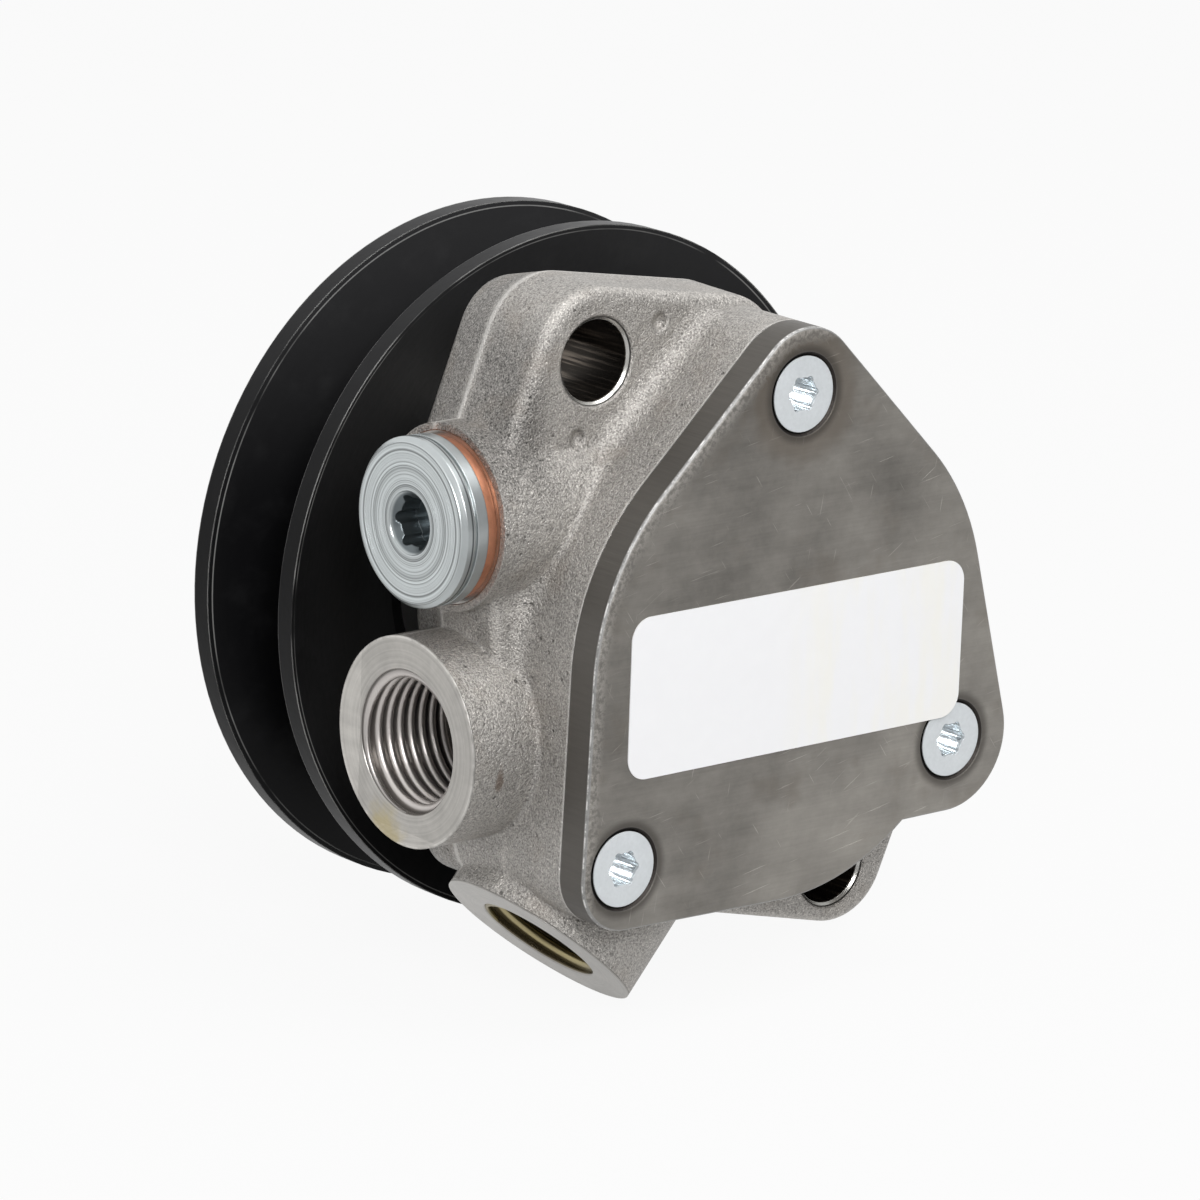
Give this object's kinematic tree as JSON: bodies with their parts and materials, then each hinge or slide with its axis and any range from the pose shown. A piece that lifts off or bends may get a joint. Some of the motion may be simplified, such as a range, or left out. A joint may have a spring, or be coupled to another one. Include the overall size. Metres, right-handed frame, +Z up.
{
  "type": "fuel feed pump",
  "caption": "Belt-driven internal gear pump in a cast housing with a flat screwed cover, two-part V-belt pulley, side relief valve plug and two threaded ports.",
  "frame": {"origin": "on the shaft axis, in the plane of the two machined lug faces that meet the engine", "axes": "+Y along the shaft towards the pulley, +Z up, +X to the right as seen from the cover"},
  "size_m": [0.08, 0.0565, 0.082],
  "materials": {
    "casting": "shot-blasted casting, machined at the ports and the seats",
    "ground_steel": "ground plate with fine scratches",
    "zinc_steel": "zinc plated steel",
    "bright_steel": "turned and ground steel",
    "spring_steel": "oiled spring steel",
    "sintered_steel": "sintered steel, ground faces",
    "bronze": "sintered bronze",
    "brass": "pressed brass",
    "copper": "soft copper",
    "seal_rubber": "nitrile rubber",
    "black_paint": "gloss black paint on pressed steel",
    "label": "bare white adhesive label"
  },
  "bodies": {
    "housing": {"pump_housing": "casting", "cover_plate": "ground_steel", "cover_screws": "zinc_steel", "cover_seal": "seal_rubber", "blank_label": "label", "shaft_bush": "bronze", "seal_case": "bright_steel", "seal_lip": "seal_rubber", "seal_spring": "spring_steel", "bearing_outer_race": "bright_steel", "bearing_circlip": "spring_steel", "relief_plug": "zinc_steel", "plug_washer": "copper", "relief_spring": "spring_steel"},
    "rotor": {"drive_shaft": "bright_steel", "rotor_key": "bright_steel", "inner_rotor": "sintered_steel", "bearing_inner_race": "bright_steel", "pulley_hub": "bright_steel", "pulley_near_half": "black_paint", "pulley_far_half": "black_paint", "pulley_screws": "zinc_steel", "pulley_washers": "zinc_steel"},
    "outer_rotor": {"outer_rotor": "sintered_steel"},
    "ball_set": {"bearing_cage": "brass", "bearing_balls": "bright_steel"},
    "relief_piston": {"relief_piston": "bright_steel"}
  },
  "joints": [
    {"name": "shaft_spin", "type": "hinge", "parent": "housing", "child": "rotor", "pos_m": [0, 0, 0], "axis": [0, 1, 0], "continuous": true},
    {"name": "outer_rotor_spin", "type": "hinge", "parent": "housing", "child": "outer_rotor", "pos_m": [0.0009, -0.0197, 0.00156], "axis": [0, 1, 0], "continuous": true},
    {"name": "ball_set_spin", "type": "hinge", "parent": "housing", "child": "ball_set", "pos_m": [0, 0.0058, 0], "axis": [0, 1, 0], "continuous": true},
    {"name": "relief_slide", "type": "slide", "parent": "housing", "child": "relief_piston", "axis": [-1, 0, 0], "range_m": [0, 0.0035], "stiffness_N_per_m": 4560, "springref_m": -0.0045, "deforming": ["relief_spring"]}
  ],
  "couplings": [
    {"joint": "outer_rotor_spin", "follows": "shaft_spin", "ratio": 0.85714},
    {"joint": "ball_set_spin", "follows": "shaft_spin", "ratio": 0.3825}
  ]
}
